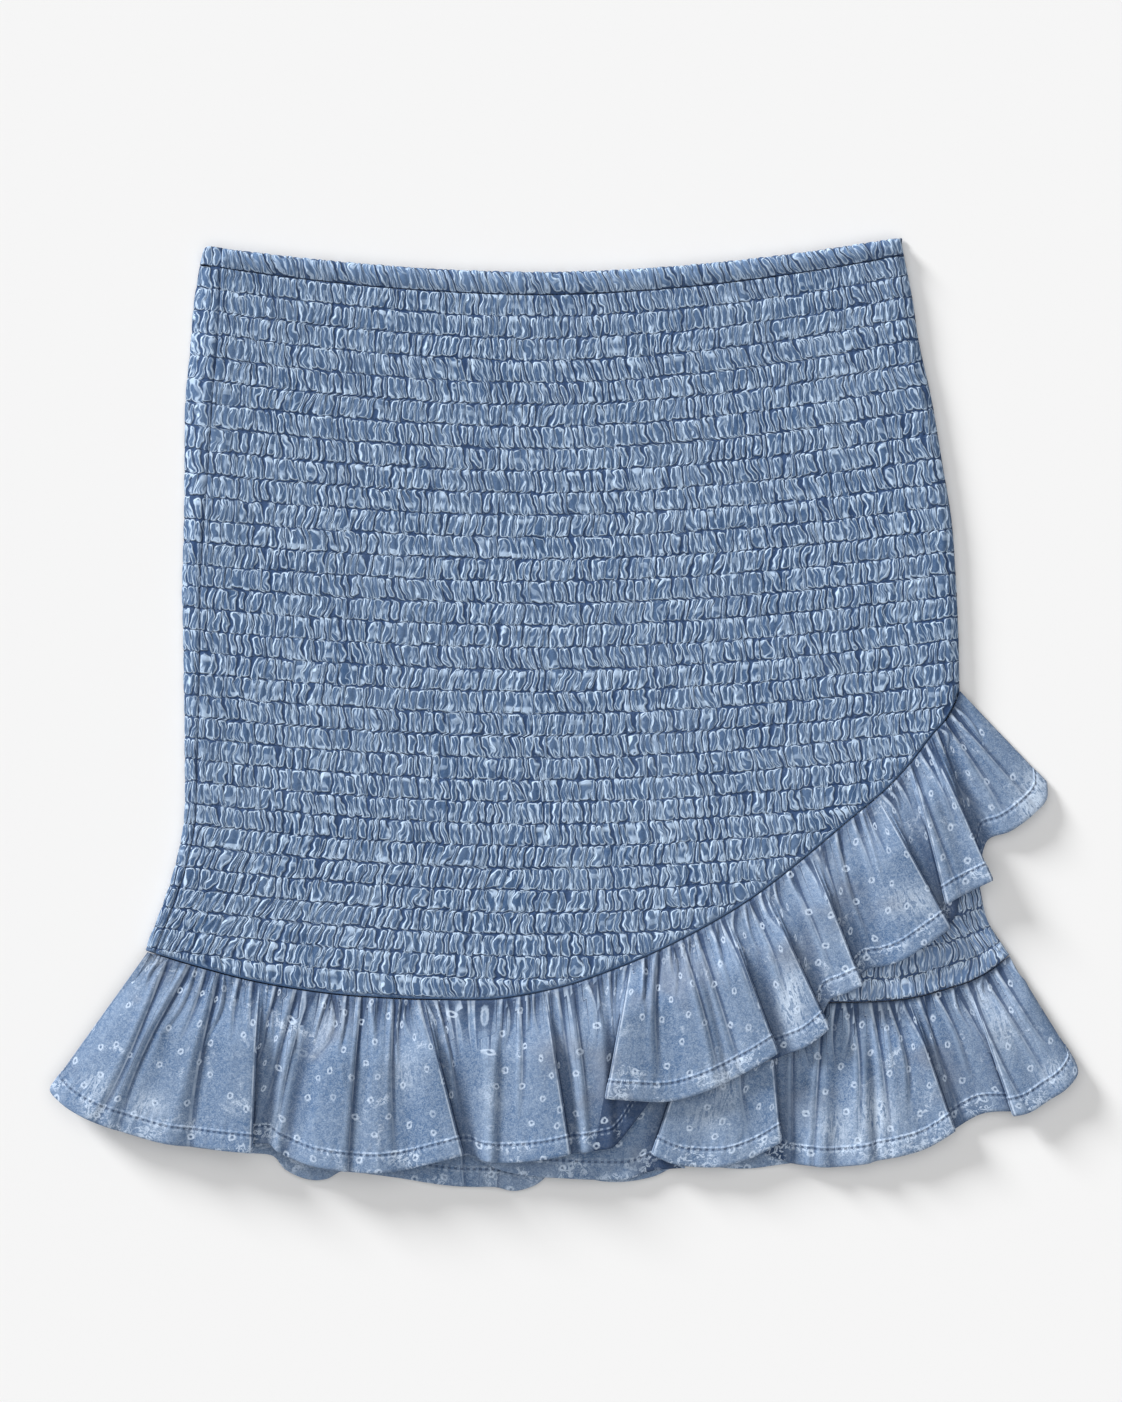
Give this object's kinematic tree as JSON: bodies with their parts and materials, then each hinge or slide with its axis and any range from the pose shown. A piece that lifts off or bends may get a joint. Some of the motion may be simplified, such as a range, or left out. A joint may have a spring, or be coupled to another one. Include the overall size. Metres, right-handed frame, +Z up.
{
  "type": "ruffled mini skirt laid flat",
  "caption": "Flat-laid shirred mini skirt with a crossed front, an elastic casing at the waist and gathered ruffles along its curved lower seams.",
  "frame": {"origin": "middle of the skirt's outline on the surface that it lies on", "axes": "+X across the skirt towards the side where the front is cut up, +Y towards the waist, +Z up from the surface"},
  "size_m": [0.4329, 0.4016, 0.0126],
  "materials": {
    "shirred_cotton": "matte, washed",
    "casing_cotton": "matte, washed",
    "ruffle_cotton": "matte, washed, small ring print"
  },
  "bodies": {
    "root": {"waist_casing_front": "casing_cotton", "waist_casing_back": "casing_cotton", "front_wrap_panel": "shirred_cotton", "front_under_panel": "shirred_cotton", "back_panel": "shirred_cotton", "wrap_ruffle": "ruffle_cotton", "under_ruffle": "ruffle_cotton", "back_ruffle": "ruffle_cotton"}
  },
  "joints": []
}
